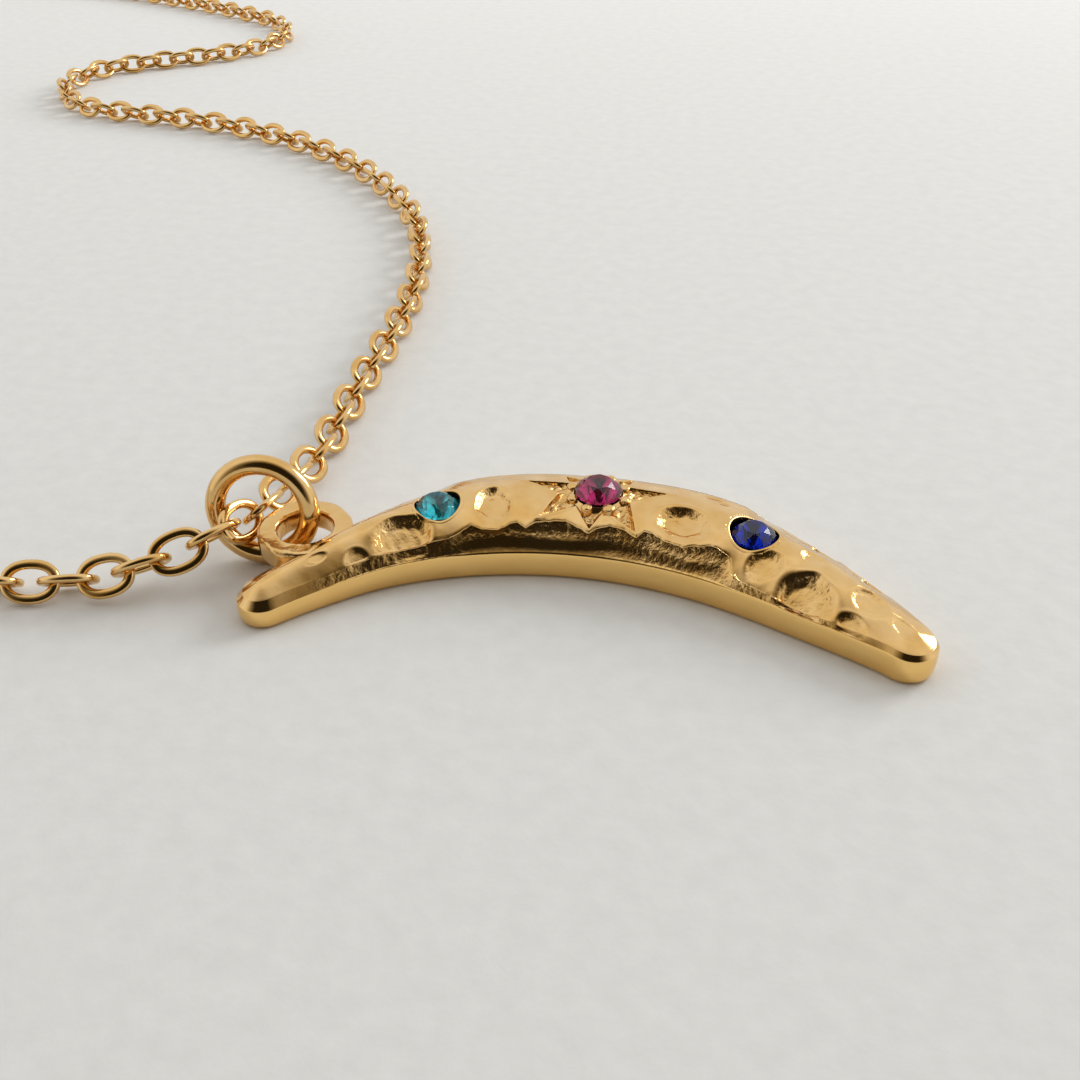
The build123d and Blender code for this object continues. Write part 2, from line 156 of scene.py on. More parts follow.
# Noise whose features are about featureSize mm across
def noiseNode(tree, coordinates, featureSize, detail):
    node = tree.nodes.new("ShaderNodeTexNoise")
    node.inputs["Scale"].default_value = 1.0 / (featureSize * millimetre)
    node.inputs["Detail"].default_value = detail
    tree.links.new(coordinates, node.inputs["Vector"])
    return node.outputs[0]


# Colour that runs evenly from each stop (position, colour) to the next
def rampNode(tree, value, stops):
    node = tree.nodes.new("ShaderNodeValToRGB")
    ramp = node.color_ramp
    while len(ramp.elements) < len(stops):
        ramp.elements.new(0.5)
    for element, (position, colour) in zip(ramp.elements, stops):
        element.position = position
        element.color = (*colour, 1.0)
    tree.links.new(value, node.inputs[0])
    return node.outputs[0]


# Sum or product of two values, each a number or a socket
def mathNode(tree, operation, first, second):
    node = tree.nodes.new("ShaderNodeMath")
    node.operation = operation
    for socket, value in zip(node.inputs, (first, second)):
        if isinstance(value, (int, float)):
            socket.default_value = value
        else:
            tree.links.new(value, socket)
    return node.outputs[0]


# The colour turns into another one as far as the mesh's own field says
def fieldMix(tree, field, colour, other):
    node = tree.nodes.new("ShaderNodeMix")
    node.data_type = "RGBA"
    tree.links.new(fieldNode(tree, field), node.inputs["Factor"])
    tree.links.new(colour, node.inputs["A"])
    node.inputs["B"].default_value = (*other, 1.0)
    return node.outputs["Result"]


# Value of the mesh's own field at each point
def fieldNode(tree, field):
    node = tree.nodes.new("ShaderNodeAttribute")
    node.attribute_name = field
    return node.outputs["Fac"]


# Bump of a depth in mm for the whole range of the height
def bumpNode(tree, height, depth):
    node = tree.nodes.new("ShaderNodeBump")
    node.inputs["Strength"].default_value = 1.0
    node.inputs["Distance"].default_value = depth * millimetre
    tree.links.new(height, node.inputs["Height"])
    return node


goldLook = {
    "pale": (0.80, 0.53, 0.23),
    "deep": (0.72, 0.43, 0.14),
    "paintedSheenColour": (1.0, 0.65, 0.23),
    "paintedShadeColour": (0.05, 0.03, 0.01),
    "tintSize": 1.6,
    "tintStops": (0.35, 0.62),
    "roughSize": 0.35,
    "roughSpread": 0.10,
    "peelSize": 0.8,
    "grainSize": 0.22,
    "grainRoughness": 0.26,
}


# Gold plate: its tint wanders over a few mm, and a fine bump follows the mesh's grain field.
# peel and grain are depths in mm
def goldMaterial(name, peel, grain, roughness):
    material, tree, surface = newMaterial(name)
    coordinates = tree.nodes.new("ShaderNodeTexCoord").outputs["Object"]
    tint = noiseNode(tree, coordinates, goldLook["tintSize"], 4.0)
    deepStop, paleStop = goldLook["tintStops"]
    colour = rampNode(tree, tint, [(deepStop, goldLook["deep"]), (paleStop, goldLook["pale"])])
    # On the band the gold is painted a lighter colour, a painted reflection of the bright floor in front
    # of it
    colour = fieldMix(tree, "polishAndPaintedSheen", colour, goldLook["paintedSheenColour"])
    # Where the shade field says, the gold is painted near black: painted shade in the stones' pits and
    # under the lip
    colour = fieldMix(tree, "shade", colour, goldLook["paintedShadeColour"])
    tree.links.new(colour, surface.inputs["Base Color"])
    surface.inputs["Metallic"].default_value = 1.0
    grainField = fieldNode(tree, "grain")
    spread = goldLook["roughSpread"]
    uneven = noiseNode(tree, coordinates, goldLook["roughSize"], 5.0)
    plain = mathNode(tree, "ADD", mathNode(tree, "MULTIPLY", uneven, spread), roughness - spread / 2)
    grainRise = mathNode(tree, "MULTIPLY", grainField, goldLook["grainRoughness"] - roughness)
    tree.links.new(mathNode(tree, "ADD", plain, grainRise), surface.inputs["Roughness"])
    # Peel: a faint uneven skin everywhere. Grain: sharp pits where the field says so
    peelBump = bumpNode(tree, noiseNode(tree, coordinates, goldLook["peelSize"], 3.0), peel)
    pits = noiseNode(tree, coordinates, goldLook["grainSize"], 2.0)
    grainBump = bumpNode(tree, mathNode(tree, "MULTIPLY", pits, grainField), grain)
    tree.links.new(peelBump.outputs[0], grainBump.inputs["Normal"])
    tree.links.new(grainBump.outputs[0], surface.inputs["Normal"])
    return material


stoneLook = {
    "glassRoughness": 0.01,
    "ior": 1.55,
    "polishSize": 0.9,
    "polishDepth": 0.003,
    "foilRoughness": 0.22,
    "mottleSize": 0.5,
    "mottleStops": (0.35, 0.65),
    "mottleDim": 0.6,
}


# Clear tinted glass for a stone's crown, and a coloured mirror for the foil behind its pavilion
def stoneMaterials(name, glass, foil):
    clear, tree, surface = newMaterial(name + "Glass")
    surface.inputs["Base Color"].default_value = (*glass, 1.0)
    surface.inputs["Transmission Weight"].default_value = 1.0
    surface.inputs["Roughness"].default_value = stoneLook["glassRoughness"]
    surface.inputs["IOR"].default_value = stoneLook["ior"]
    coordinates = tree.nodes.new("ShaderNodeTexCoord").outputs["Object"]
    # Faint uneven polish of the glass, as a bump
    polishAndPaintedSheen = noiseNode(tree, coordinates, stoneLook["polishSize"], 2.0)
    polishBump = bumpNode(tree, polishAndPaintedSheen, stoneLook["polishDepth"])
    tree.links.new(polishBump.outputs[0], surface.inputs["Normal"])
    back, tree, surface = newMaterial(name + "Foil")
    coordinates = tree.nodes.new("ShaderNodeTexCoord").outputs["Object"]
    mottle = noiseNode(tree, coordinates, stoneLook["mottleSize"], 2.0)
    dim = tuple(stoneLook["mottleDim"] * channel for channel in foil)
    dimStop, fullStop = stoneLook["mottleStops"]
    tint = rampNode(tree, mottle, [(dimStop, dim), (fullStop, foil)])
    tree.links.new(tint, surface.inputs["Base Color"])
    surface.inputs["Metallic"].default_value = 1.0
    surface.inputs["Roughness"].default_value = stoneLook["foilRoughness"]
    return clear, back


castGold = goldMaterial("castGold", peel=0.010, grain=0.08, roughness=0.12)
wireGold = goldMaterial("wireGold", peel=0.006, grain=0.03, roughness=0.11)
print("materials ready")

# Crescent

crescent = {
    "radius": 19.3,
    "spineMiddle": 0.998,  # share of the radius at which the spine crosses the origin
    "halfAngle": 54.3,
    "width": 6.3,
    "height": 3.5,
    "band": 1.65,
    "bandSwell": 0.05,
    "footRound": 0.30,
    "crest": 0.5,  # how round the top of the crown is: 0 is a ridge
    "bevelLean": 35.0,
    # Share of the rise over the band that the bevel takes: along the middle, and at places
    # towards the tips
    "deepBevel": 0.72,
    "deepPlaces": (-0.47, -0.37, 0.38, 0.46),
    "bevelPlaces": [-1.00, -0.86, -0.72, -0.50, 0.00, 0.46, 0.62, 0.80, 0.92, 1.00],
    "bevelShares": [0.52, 0.36, 0.38, 0.42, 0.35, 0.26, 0.18, 0.19, 0.34, 0.52],
    "bevelHollow": 0.07,
    "plainHollow": 0.1,  # share of the hollow away from the deep bevel
    # The ledge in the deep bevel: height, waves across the bevel, how far they wander over what length
    "ledge": 0.045,
    "ledgeWaves": 1.25,
    "ledgeWander": 0.35,
    "ledgeLength": 6.0,
    # Edge of the crown over the deep bevel on the inner side: place along the crescent, and distance
    # from its middle
    "lip": [
        (-8.0, 2.15), (-7.02, 1.96), (-6.46, 2.35), (-5.54, 2.57), (-4.72, 2.27), (-4.41, 2.24),
        (-3.97, 2.60), (-3.40, 2.27), (-2.45, 2.18), (-1.67, 2.12), (-0.92, 2.43), (-0.28, 2.74),
        (0.17, 2.41), (0.88, 2.16), (1.62, 2.24), (2.55, 2.66), (2.90, 2.19), (3.44, 2.25),
        (4.25, 2.57), (5.44, 2.62), (5.72, 2.39), (6.32, 2.23), (6.80, 1.96), (7.92, 1.87),
    ],
    "lipEnds": (-8.6, -7.4, 7.8, 8.7),
    "lipStep": 0.12,
    "lipRoll": 0.04,
    "lipRollLength": 0.08,
    "lipRagged": ((0.05, 0.55), (0.03, 2.5)),  # depth and length of its fine and of its long waves
    "tipFall": 0.23,
    "hammer": ((0.035, 2.4), (0.00875, 0.9)),  # height and length of the waves in the skin
    # Share of the half angle, then shares of radius, width, height and band
    "sections": [
        (-1.000, 1.010, 0.413, 0.586, 0.70),
        (-0.865, 1.001, 0.484, 0.700, 0.76),
        (-0.663, 1.005, 0.643, 0.829, 0.88),
        (-0.497, 1.010, 0.802, 0.914, 0.94),
        (-0.331, 1.013, 0.937, 0.977, 0.97),
        (0.000, 0.998, 0.992, 1.000, 1.00),
        (0.368, 0.990, 0.976, 0.977, 1.00),
        (0.534, 0.982, 0.889, 0.920, 0.97),
        (0.727, 0.979, 0.730, 0.814, 0.94),
        (0.884, 0.990, 0.548, 0.691, 0.91),
        (0.967, 1.000, 0.437, 0.600, 0.91),
    ],
    # Rows of the mesh: ends of its middle stretch, steps along each stretch and round a tip
    "middleStretch": (-0.25, 0.27),
    "stretchSteps": (150, 200, 140),
    "tipSteps": 30,
    # Columns of the mesh over the band, the bevel and the crown
    "bandSteps": 8,
    "bevelSteps": 21,
    "crownSteps": 46,
}
centreY = -crescent["radius"] * crescent["spineMiddle"]
sectionShares, *sectionColumns = np.array(crescent["sections"]).T
sectionTable = dict(zip(("radius", "width", "height", "band"), sectionColumns))


# The crescent's own value times its share at places along it
def sectionValue(share, name):
    return smoothTable(share, sectionShares, sectionTable[name]) * crescent[name]


# How much of the deep bevel there is at places along the crescent, from 0 to 1
def deepShare(share):
    first, second, third, last = crescent["deepPlaces"]
    return smoothStep(first, second, share) * smoothStep(last, third, share)


# Reach, height, band, shoulder where the crown begins, and sag of the crown down to it
def sectionSizes(share):
    reach = sectionValue(share, "width") / 2
    height = sectionValue(share, "height")
    band = sectionValue(share, "band")
    plain = smoothTable(share, crescent["bevelPlaces"], crescent["bevelShares"])
    deep = deepShare(share)
    rise = (plain * (1 - deep) + crescent["deepBevel"] * deep) * (height - band)
    shoulder = reach - rise * np.tan(np.radians(crescent["bevelLean"]))
    return reach, height, band, shoulder, height - band - rise


# Share of the sag at a share of the way out: sqrt(t^2 + c^2), a hyperbola, made to run from 0 to 1
def crownFall(t):
    crest = crescent["crest"]
    return (np.sqrt(t**2 + crest**2) - crest) / (np.sqrt(1 + crest**2) - crest)


# Dents: x, y, width across the long axis, length, depth, turn of the long axis from +X
dents = [
    (-15.44, -7.42, 0.30, 0.80, 0.03, 45),
    (-13.52, -6.11, 0.50, 1.30, 0.05, 42),
    (-11.59, -5.51, 1.05, 1.30, 0.09, 40),
    (-9.58, -3.97, 2.35, 3.30, 0.40, 30),
    (-5.30, -1.55, 2.00, 2.80, 0.36, 105),
    (4.51, -1.90, 2.20, 2.90, 0.38, -20),
    (6.05, 0.75, 0.45, 1.10, 0.06, -10),
    (6.55, 0.20, 0.40, 0.80, 0.05, -15),
    (8.54, -4.05, 1.50, 1.90, 0.20, 15),
    (10.55, -5.78, 2.45, 3.00, 0.42, -35),
    (10.96, -3.70, 1.00, 1.50, 0.11, -35),
    (11.70, -1.95, 1.30, 2.00, 0.22, -40),
    (12.64, -7.12, 1.00, 1.60, 0.13, -40),
    (13.47, -6.04, 1.50, 2.10, 0.18, -42),
    (13.95, -4.05, 1.10, 1.80, 0.18, -45),
    (14.99, -7.36, 0.85, 1.70, 0.10, -50),
    (11.20, -1.40, 2.60, 4.20, 0.16, -38),
    (13.90, -3.50, 2.40, 3.60, 0.16, -42),
    (-11.60, -1.60, 2.20, 3.80, 0.12, 38),
]

# Form of every dent. Places are shares of the way out to its rim, heights are shares of its depth. The
# waver and the waves have a height and a length in mm, the bells a middle and a width
bowl = {
    "waver": (0.09, 1.1),
    "wallShare": 0.75,
    "backFoot": 0.58,
    "nearFoot": 0.13,
    "sink": 0.85,
    "nearRise": 0.38,
    "rim": 0.10,
    "nearRim": 0.02,
    "rimBell": (1.10, 0.14),
    "wallBell": (0.78, 0.17),
    "floorWave": (0.10, 0.6),
    "wallWave": (0.07, 0.28),
    "floorGrain": 0.30,
    "wallGrain": 0.75,
    "grainDepth": 0.25,  # a dent of this depth in mm has all of its grain
}


# Lift and grain of one dent. With q the way out to its rim, the bowl is a smooth step from the rim to the
# wall's foot and a share of 1 - q^2. It is steep at the back, and drawn out and shallower on the near side
def dentRelief(x, y, dent):
    dentX, dentY, width, length, depth, degrees = dent
    turn = np.radians(degrees)
    along = (x - dentX) * np.cos(turn) + (y - dentY) * np.sin(turn)
    across = -(x - dentX) * np.sin(turn) + (y - dentY) * np.cos(turn)
    waver, waverSize = bowl["waver"]
    q = np.hypot(along / (length / 2), across / (width / 2)) + waver * ripple(x, y, waverSize, 11)
    near = np.clip((dentY - y) / (width / 2), -1, 1)
    foot = bowl["backFoot"] - (bowl["backFoot"] - bowl["nearFoot"]) * smoothStep(0.0, 1.0, near)
    sunk = depth * (bowl["sink"] - bowl["nearRise"] * near)
    share = bowl["wallShare"]
    lift = -sunk * (share * smoothStep(1.0, foot, q) + (1 - share) * np.clip(1 - q**2, 0, None))
    rim = bowl["rim"] - (bowl["rim"] - bowl["nearRim"]) * smoothStep(-0.2, 0.6, near)
    lift += rim * sunk * bell(q, *bowl["rimBell"])
    floor = smoothStep(0.95, 0.55, q)
    wall = bell(q, *bowl["wallBell"])
    for place, (wave, waveSize), seed in ((floor, bowl["floorWave"], 12), (wall, bowl["wallWave"], 13)):
        lift += place * wave * depth * ripple(x, y, waveSize, seed)
    grain = np.maximum(bowl["floorGrain"] * floor, bowl["wallGrain"] * wall)
    return lift, grain * min(1, depth / bowl["grainDepth"])


star = {
    "size": 4.4,
    "rise": 0.035,
    "riseWidth": 0.12,
    "depth": 0.21,
    "edge": (0.03, 0.20),  # where the fall from the rim begins and ends, inwards from the outline
    "floorWave": (0.13, 0.32),
    "grain": 0.8,
    "seat": (1.4, 2.0),  # distances from the stone's middle between which the rays reach their depth
    "seatDepth": 0.5,
    "bossEdge": (1.24, 1.38),
    "bossWave": (0.03, 0.5),
    # Direction in degrees from +X, length as a share of size, then direction and distance of the
    # notch after it
    "rays": [
        (7, 0.90, 28, 1.70),
        (49, 0.66, 70, 1.50),
        (92, 0.60, 115, 1.50),
        (138, 0.62, 154, 1.80),
        (169, 0.957, 190, 2.15),
        (215, 0.83, 228, 1.62),
        (265, 0.60, 287, 1.46),
        (309.7, 0.79, 338, 1.85),
    ],
}


# Tips of the rays and the notches between them by turns: distance times cos and sin of the angle
def starCorners():
    corners = []
    for angle, share, notchAngle, notchRadius in star["rays"]:
        tip, notch = np.radians(angle), np.radians(notchAngle)
        corners.append((share * star["size"] * np.cos(tip), share * star["size"] * np.sin(tip)))
        corners.append((notchRadius * np.cos(notch), notchRadius * np.sin(notch)))
    return np.array(corners)


def starDistance(x, y):
    # Signed distance to the star's outline, negative inside: nearest side, with the sign from crossings
    nearest = np.full(x.shape, np.inf)
    inside = np.zeros(x.shape, bool)
    corners = starCorners()
    for (ax, ay), (bx, by) in zip(corners, np.roll(corners, -1, 0)):
        ex, ey = bx - ax, by - ay
        t = np.clip(((x - ax) * ex + (y - ay) * ey) / (ex * ex + ey * ey), 0, 1)
        nearest = np.minimum(nearest, np.hypot(x - ax - t * ex, y - ay - t * ey))
        crosses = (ay > y) != (by > y)
        inside ^= crosses & (x < ex * (y - ay) / ey + ax)
    return np.where(inside, -nearest, nearest)


# Stones and the pits they sit in, placed from the CAD nodes: slack is the gap round the stone, painted
# dark as shade
stones = {
    "teal_stone": {
        "slot": "teal_glass", "slack": 0.10, "proud": 0.15,
        "glass": (0.76, 0.99, 1.0), "foil": (0.10, 0.84, 0.98),
    },
    "ruby_stone": {
        "slot": "ruby_glass", "slack": 0.06, "proud": 0.06,
        "glass": (1.0, 0.66, 0.80), "foil": (0.66, 0.06, 0.25),
    },
    "sapphire_stone": {
        "slot": "sapphire_glass", "slack": 0.24, "proud": 0.17,
        "glass": (0.48, 0.58, 1.0), "foil": (0.012, 0.06, 0.64),
    },
}
pitLook = {
    "below": 0.15,
    "wall": (0.07, 0.13),
    # Burnished rim of the sleeve: distance out from the pit's edge, lift over the crown
    "rim": [(0.26, -0.03), (0.19, 0.0), (0.12, 0.014), (0.06, 0.008), (0.02, -0.012), (0, -0.045)],
    "rimGrain": 0.05,
    "turnSteps": 96,
}
for name, stone in stones.items():
    low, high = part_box(name)
    stone["x"], stone["y"] = (low.x + high.x) / 2 / millimetre, (low.y + high.y) / 2 / millimetre
    stone["radius"] = (high.x - low.x) / 2 / millimetre
    stone["edge"] = stone["radius"] + stone["slack"] / 2
    stone["top"] = high.z / millimetre + stone["proud"]
    stone["floor"] = low.z / millimetre - pitLook["below"]


# Change of height over the top at each place: waves, less each dent's bowl, with the star and the pits,
# and how rough the metal is there, with painted shade in the pits
def reliefAt(x, y, height, onCrown, pits, dented=1):
    (coarse, coarseSize), (fine, fineSize) = crescent["hammer"]
    lift = coarse * ripple(x, y, coarseSize, 4) + fine * ripple(x, y, fineSize, 5)
    grain = np.zeros_like(x)
    shade = np.zeros_like(x)
    for dent in dents:
        dentLift, dentGrain = dentRelief(x, y, dent)
        lift = lift + dentLift
        grain = np.maximum(grain, dentGrain)
    lift, grain = lift * dented, grain * dented
    ruby = stones["ruby_stone"]
    dx, dy = x - ruby["x"], y - ruby["y"]
    inStar = starDistance(dx, dy)
    fromRuby = np.hypot(dx, dy)
    # The rays are sunk behind a thin raised rim, less deep near the stone, with rough floors
    lift = lift + onCrown * star["rise"] * bell(inStar, 0, star["riseWidth"])
    edgeStart, edgeEnd = star["edge"]
    floor = onCrown * smoothStep(-edgeStart, -edgeEnd, inStar)
    shallow = star["seatDepth"] + (1 - star["seatDepth"]) * smoothStep(*star["seat"], fromRuby)
    wave, waveSize = star["floorWave"]
    lift = lift - floor * shallow * (star["depth"] + wave * ripple(dx, dy, waveSize, 21))
    grain = np.maximum(grain, star["grain"] * floor)
    # The boss round the middle stone is level and low
    bossInner, bossOuter = star["bossEdge"]
    boss = smoothStep(bossOuter, bossInner, fromRuby)
    wave, waveSize = star["bossWave"]
    lift = lift * (1 - boss) + boss * (crescent["height"] - height + wave * ripple(x, y, waveSize, 3))
    # Each pit sinks to the stone's floor, and its wall and floor are painted dark as painted shade
    wallFoot, wallTop = pitLook["wall"]
    for stone in stones.values():
        distance = np.hypot(x - stone["x"], y - stone["y"])
        pit = smoothStep(stone["edge"] + wallTop, stone["edge"] + wallFoot, distance) * pits
        lift = lift * (1 - pit) + pit * (stone["floor"] - height)
        shade = np.maximum(shade, pit)
    return lift, grain, shade


# Along one side the spine is an arc, and a row points straight out from the arc's centre or to it
def sideRows(shares, outward):
    angle = np.radians(shares * crescent["halfAngle"])
    middle = sectionValue(shares, "radius")
    spine = np.stack([middle * np.sin(angle), centreY + middle * np.cos(angle)], -1)
    direction = np.stack([np.sin(angle), np.cos(angle)], -1) * outward
    return spine, direction, shares, shares * 0


# Round a tip the rows turn about the middle of the last section, as the spokes of a half circle
def tipRows(share, turns):
    angle = np.radians(share * crescent["halfAngle"])
    middle = sectionValue(np.array([share]), "radius")[0]
    spine = np.array([middle * np.sin(angle), centreY + middle * np.cos(angle)])
    along = np.array([np.cos(angle), -np.sin(angle)]) * np.sign(share)
    out = np.array([np.sin(angle), np.cos(angle)])
    direction = np.cos(turns)[:, None] * out + np.sin(turns)[:, None] * along
    return np.repeat(spine[None], len(turns), 0), direction, np.full(len(turns), share), np.sin(turns)


# Rows run round the outline: the outer side, the right tip, the inner side, the left tip. Each has a
# point of the spine, a direction, its share of the half angle, how far it points past a tip, and 1 on
# the inner side
def outlineRows():
    first, last = sectionShares[0], sectionShares[-1]
    ends = [first, *crescent["middleStretch"], last]
    stretches = zip(ends, ends[1:], crescent["stretchSteps"])
    runs = [np.linspace(start, stop, steps, endpoint=False) for start, stop, steps in stretches]
    shares = np.concatenate(runs + [[last]])
    turns = np.linspace(0, np.pi, crescent["tipSteps"])[1:-1]
    parts = [
        sideRows(shares, 1),
        tipRows(last, turns),
        sideRows(shares[::-1], -1),
        tipRows(first, turns[::-1]),
    ]
    inner = [np.full(len(part[2]), part is parts[2], float) for part in parts]
    return [np.concatenate([part[i] for part in parts]) for i in range(4)] + [np.concatenate(inner)]


# On the inner side the crown ends in a ragged lip over the deep bevel: how much of it there is, its
# distance from the middle, its overhang, and where the bevel ends behind it
def lipLines(place, inner, shoulder):
    start, full, less, stop = crescent["lipEnds"]
    overLip = inner * smoothStep(start, full, place) * smoothStep(stop, less, place)
    lipPlaces, lipReaches = np.array(crescent["lip"]).T
    plainLip = shoulder + overLip * (np.interp(place, lipPlaces, lipReaches) - shoulder)
    (fine, fineLength), (long, longLength) = crescent["lipRagged"]
    ragged = fine * ripple(place, inner * 7, fineLength, 33)
    ragged += long * ripple(place, inner * 3, longLength, 34)
    lip = plainLip + overLip * ragged
    step = crescent["lipStep"] * overLip
    # The bevel ends in a smoother line, never further out than the shoulder or the lip
    behindLip = softened(np.minimum(plainLip, shoulder), 50)
    behindLip = np.minimum(behindLip, lip - crescent["lipRoll"] * overLip) - step
    return overLip, lip, step, softened(behindLip, 10)


# Half section of every row: back, rounded foot, band, hollow bevel, lip, crown. Each column has its
# distance from the middle, its height, and its zone: 0 up to the band's top, to 1 over the bevel, and
# from 1.02 at the lip to 2.02 at the crest
def halfSection(sizes, place, inner, deepBevel):
    reach, height, band, shoulder, sag = sizes
    overLip, lip, step, bevelEnd = lipLines(place, inner, shoulder)
    roll, rollLength, foot = crescent["lipRoll"], crescent["lipRollLength"], crescent["footRound"]

    # Height of the crown at a distance from the middle
    def crown(offset):
        return height - sag * crownFall(offset / shoulder)

    lean = np.tan(np.radians(crescent["bevelLean"]))
    bevelTop = np.minimum(band + (reach - bevelEnd) / lean, crown(bevelEnd) - 1.2 * step)
    outs, ups, zone = [], [], []
    for part in (0.0, 0.35, 0.7):
        outs.append(part * (reach - foot))
        ups.append(reach * 0)
        zone.append(0)
    for turn in np.radians(np.array([-90, -60, -30, 0])):
        outs.append(reach - foot + foot * np.cos(turn))
        ups.append(foot + foot * np.sin(turn) + reach * 0)
        zone.append(0)
    for part in np.linspace(0.15, 1, crescent["bandSteps"]):
        outs.append(reach + crescent["bandSwell"] * np.sin(part * np.pi))
        ups.append(foot + (band - foot) * part)
        zone.append(0)
    # The bevel is hollow, and along the middle a soft ledge wanders up and down in it
    wander = crescent["ledgeWander"] * (ripple(place, inner * 5, crescent["ledgeLength"], 43) - 1)
    plain = crescent["plainHollow"]
    for part in np.concatenate([[0.02], np.linspace(0.07, 1, crescent["bevelSteps"])]):
        arch = np.sin(part * np.pi)
        hollow = crescent["bevelHollow"] * arch * (plain + (1 - plain) * deepBevel)
        wave = arch * np.sin(2 * np.pi * (part * crescent["ledgeWaves"] + wander))
        inwards = hollow - crescent["ledge"] * deepBevel * inner * wave
        outs.append(reach + (bevelEnd - reach) * part - inwards * 0.8)
        ups.append(band + (bevelTop - band) * part - inwards * 0.5)
        zone.append(part)
    for part in (0.4, 0.85):
        outs.append(lip - 0.35 * step * (1 - part))
        ups.append(crown(lip) - step * (1.1 - part))
        zone.append(1 + 0.01 * part)
    # The crown turns down a little in its last tenth of a millimetre
    for part in np.concatenate([[0.0, 0.02, 0.045], np.linspace(0.08, 1, crescent["crownSteps"])]):
        outs.append(lip * (1 - part))
        ups.append(crown(lip * (1 - part)) - roll * overLip * np.exp(-part * lip / rollLength))
        zone.append(1.02 + part)
    return np.stack(outs, 1), np.stack(ups, 1), np.array(zone), overLip


# Grain of the bevel, with the painted shade under the lip and the painted reflection on the band
wear = {
    # Grain of the bevel beside the tips, with the shares of the half angle at which it comes and goes
    "stripGrain": 0.45,
    "stripEnds": (-0.92, -0.80, 0.75, 0.90),
    # Grain of the deep bevel: all along it, what comes to it right of the middle, and where it comes
    "deepGrain": (0.10, 0.35),
    "deepGrainPlaces": (-0.05, 0.20),
    "lipGrain": 0.50,
    # How dark the bevel is painted just under the lip, a painted shade
    "lipShade": 0.75,
    "chatter": (0.012, 0.5),  # depth and length of the waves where the bevel is rough
    "bevelDents": 0.5,  # share of the dents' depth that the plain bevel takes
    "tipPlaces": (0.86, 0.93),
    "tipPasses": 14,
    # How much of the painted reflection, a lighter gold, the band gets
    "bandPaintedSheen": 0.8,
}


# Roughness of the bevel at each place, and the painted shade under the lip
def bevelLook(share, zone, deepBevel, overLip):
    # It is smooth at the tips, a little rough beside them, and roughest right of the middle
    onBevel = smoothStep(0.0, 0.05, zone) * smoothStep(1.10, 0.96, zone)
    start, full, less, stop = wear["stripEnds"]
    strip = smoothStep(start, full, share) * smoothStep(stop, less, share) * (1 - deepBevel)
    allAlong, rightOfMiddle = wear["deepGrain"]
    rough = deepBevel * (allAlong + rightOfMiddle * smoothStep(*wear["deepGrainPlaces"], share))
    underLip = wear["lipGrain"] * smoothStep(0.35, 0.60, zone) * deepBevel[:, None]
    # Just under the lip the bevel is painted dark, a painted shade
    tucked = smoothStep(0.90, 0.98, zone) * smoothStep(1.018, 1.010, zone)
    grain = onBevel * ((wear["stripGrain"] * strip + rough)[:, None] + underLip)
    return grain, wear["lipShade"] * overLip[:, None] * tucked


# The cast crescent: every row's half section set on its point of the spine, with the relief on top
def crescentSheet():
    spine, direction, share, pastTip, inner = outlineRows()
    sizes = sectionSizes(share)
    reach, band = sizes[0], sizes[2]
    place = np.radians(share * crescent["halfAngle"]) * crescent["radius"]
    deepBevel = deepShare(share)
    outs, ups, zone, overLip = halfSection(sizes, place, inner, deepBevel)
    # Round a tip the top goes on falling, as far as each point lies beyond the last section
    beyond = outs * pastTip[:, None] / reach[:, None]
    ups = ups - np.clip(ups - band[:, None], 0, None) * crescent["tipFall"] * beyond
    x = spine[:, :1] + direction[:, :1] * outs
    y = spine[:, 1:] + direction[:, 1:] * outs
    # Relief stands square to the bevel and straight up on the crown
    onBevel = smoothStep(0.0, 0.35, zone)
    upright = smoothStep(0.8, 1.1, zone)
    onCrown = smoothStep(1.03, 1.10, zone)
    dented = onCrown + (1 - onCrown) * wear["bevelDents"] * (1 - deepBevel * inner)[:, None]
    lift, grain, shade = reliefAt(x, y, ups, onCrown, 1, dented)
    bevelGrain, bevelShade = bevelLook(share, zone, deepBevel, overLip)
    lean = np.radians(crescent["bevelLean"])
    sideways = lift * onBevel * (1 - upright) * np.cos(lean)
    upwards = lift * (onBevel * (1 - upright) * np.sin(lean) + upright)
    alongRows, acrossRows = np.broadcast_arrays(place[:, None], zone * 1.2)
    chatter, chatterLength = wear["chatter"]
    sideways = sideways + chatter * ripple(alongRows, acrossRows, chatterLength, 41) * bevelGrain
    x = x + direction[:, :1] * sideways
    y = y + direction[:, 1:] * sideways
    points = np.stack([x, y, np.maximum(ups + upwards, 0)], -1)
    # The tips are worn smooth
    nearTip = smoothStep(*wear["tipPlaces"], np.abs(share))[:, None, None]
    points = points + nearTip * (softened(points, wear["tipPasses"]) - points)
    return {
        "points": points,
        "closeRows": True,
        "grain": np.maximum(grain * onBevel, bevelGrain),
        "shade": np.maximum(shade, bevelShade),
        # The band is painted a lighter gold, a painted reflection of the floor
        "polishAndPaintedSheen": wear["bandPaintedSheen"] * smoothStep(0.06, 0.0, zone),
    }


loop = {
    "x": -14.78,
    "y": -3.69,
    "hole": 2.84,
    "wall": 1.03,
    "bottom": 1.28,
    "thickness": 1.25,
    "corner": 4.6,
    "wear": 0.04,
    "wearSizes": (1.1, 1.2),  # length of the waves in its height and in its radius
    "fineWear": (0.02, 0.45),
    "grain": (0.22, 0.25),  # mean, and how far it wanders
    "grainSize": 0.9,
    "turnSteps": 180,
    "sectionSteps": 40,
}


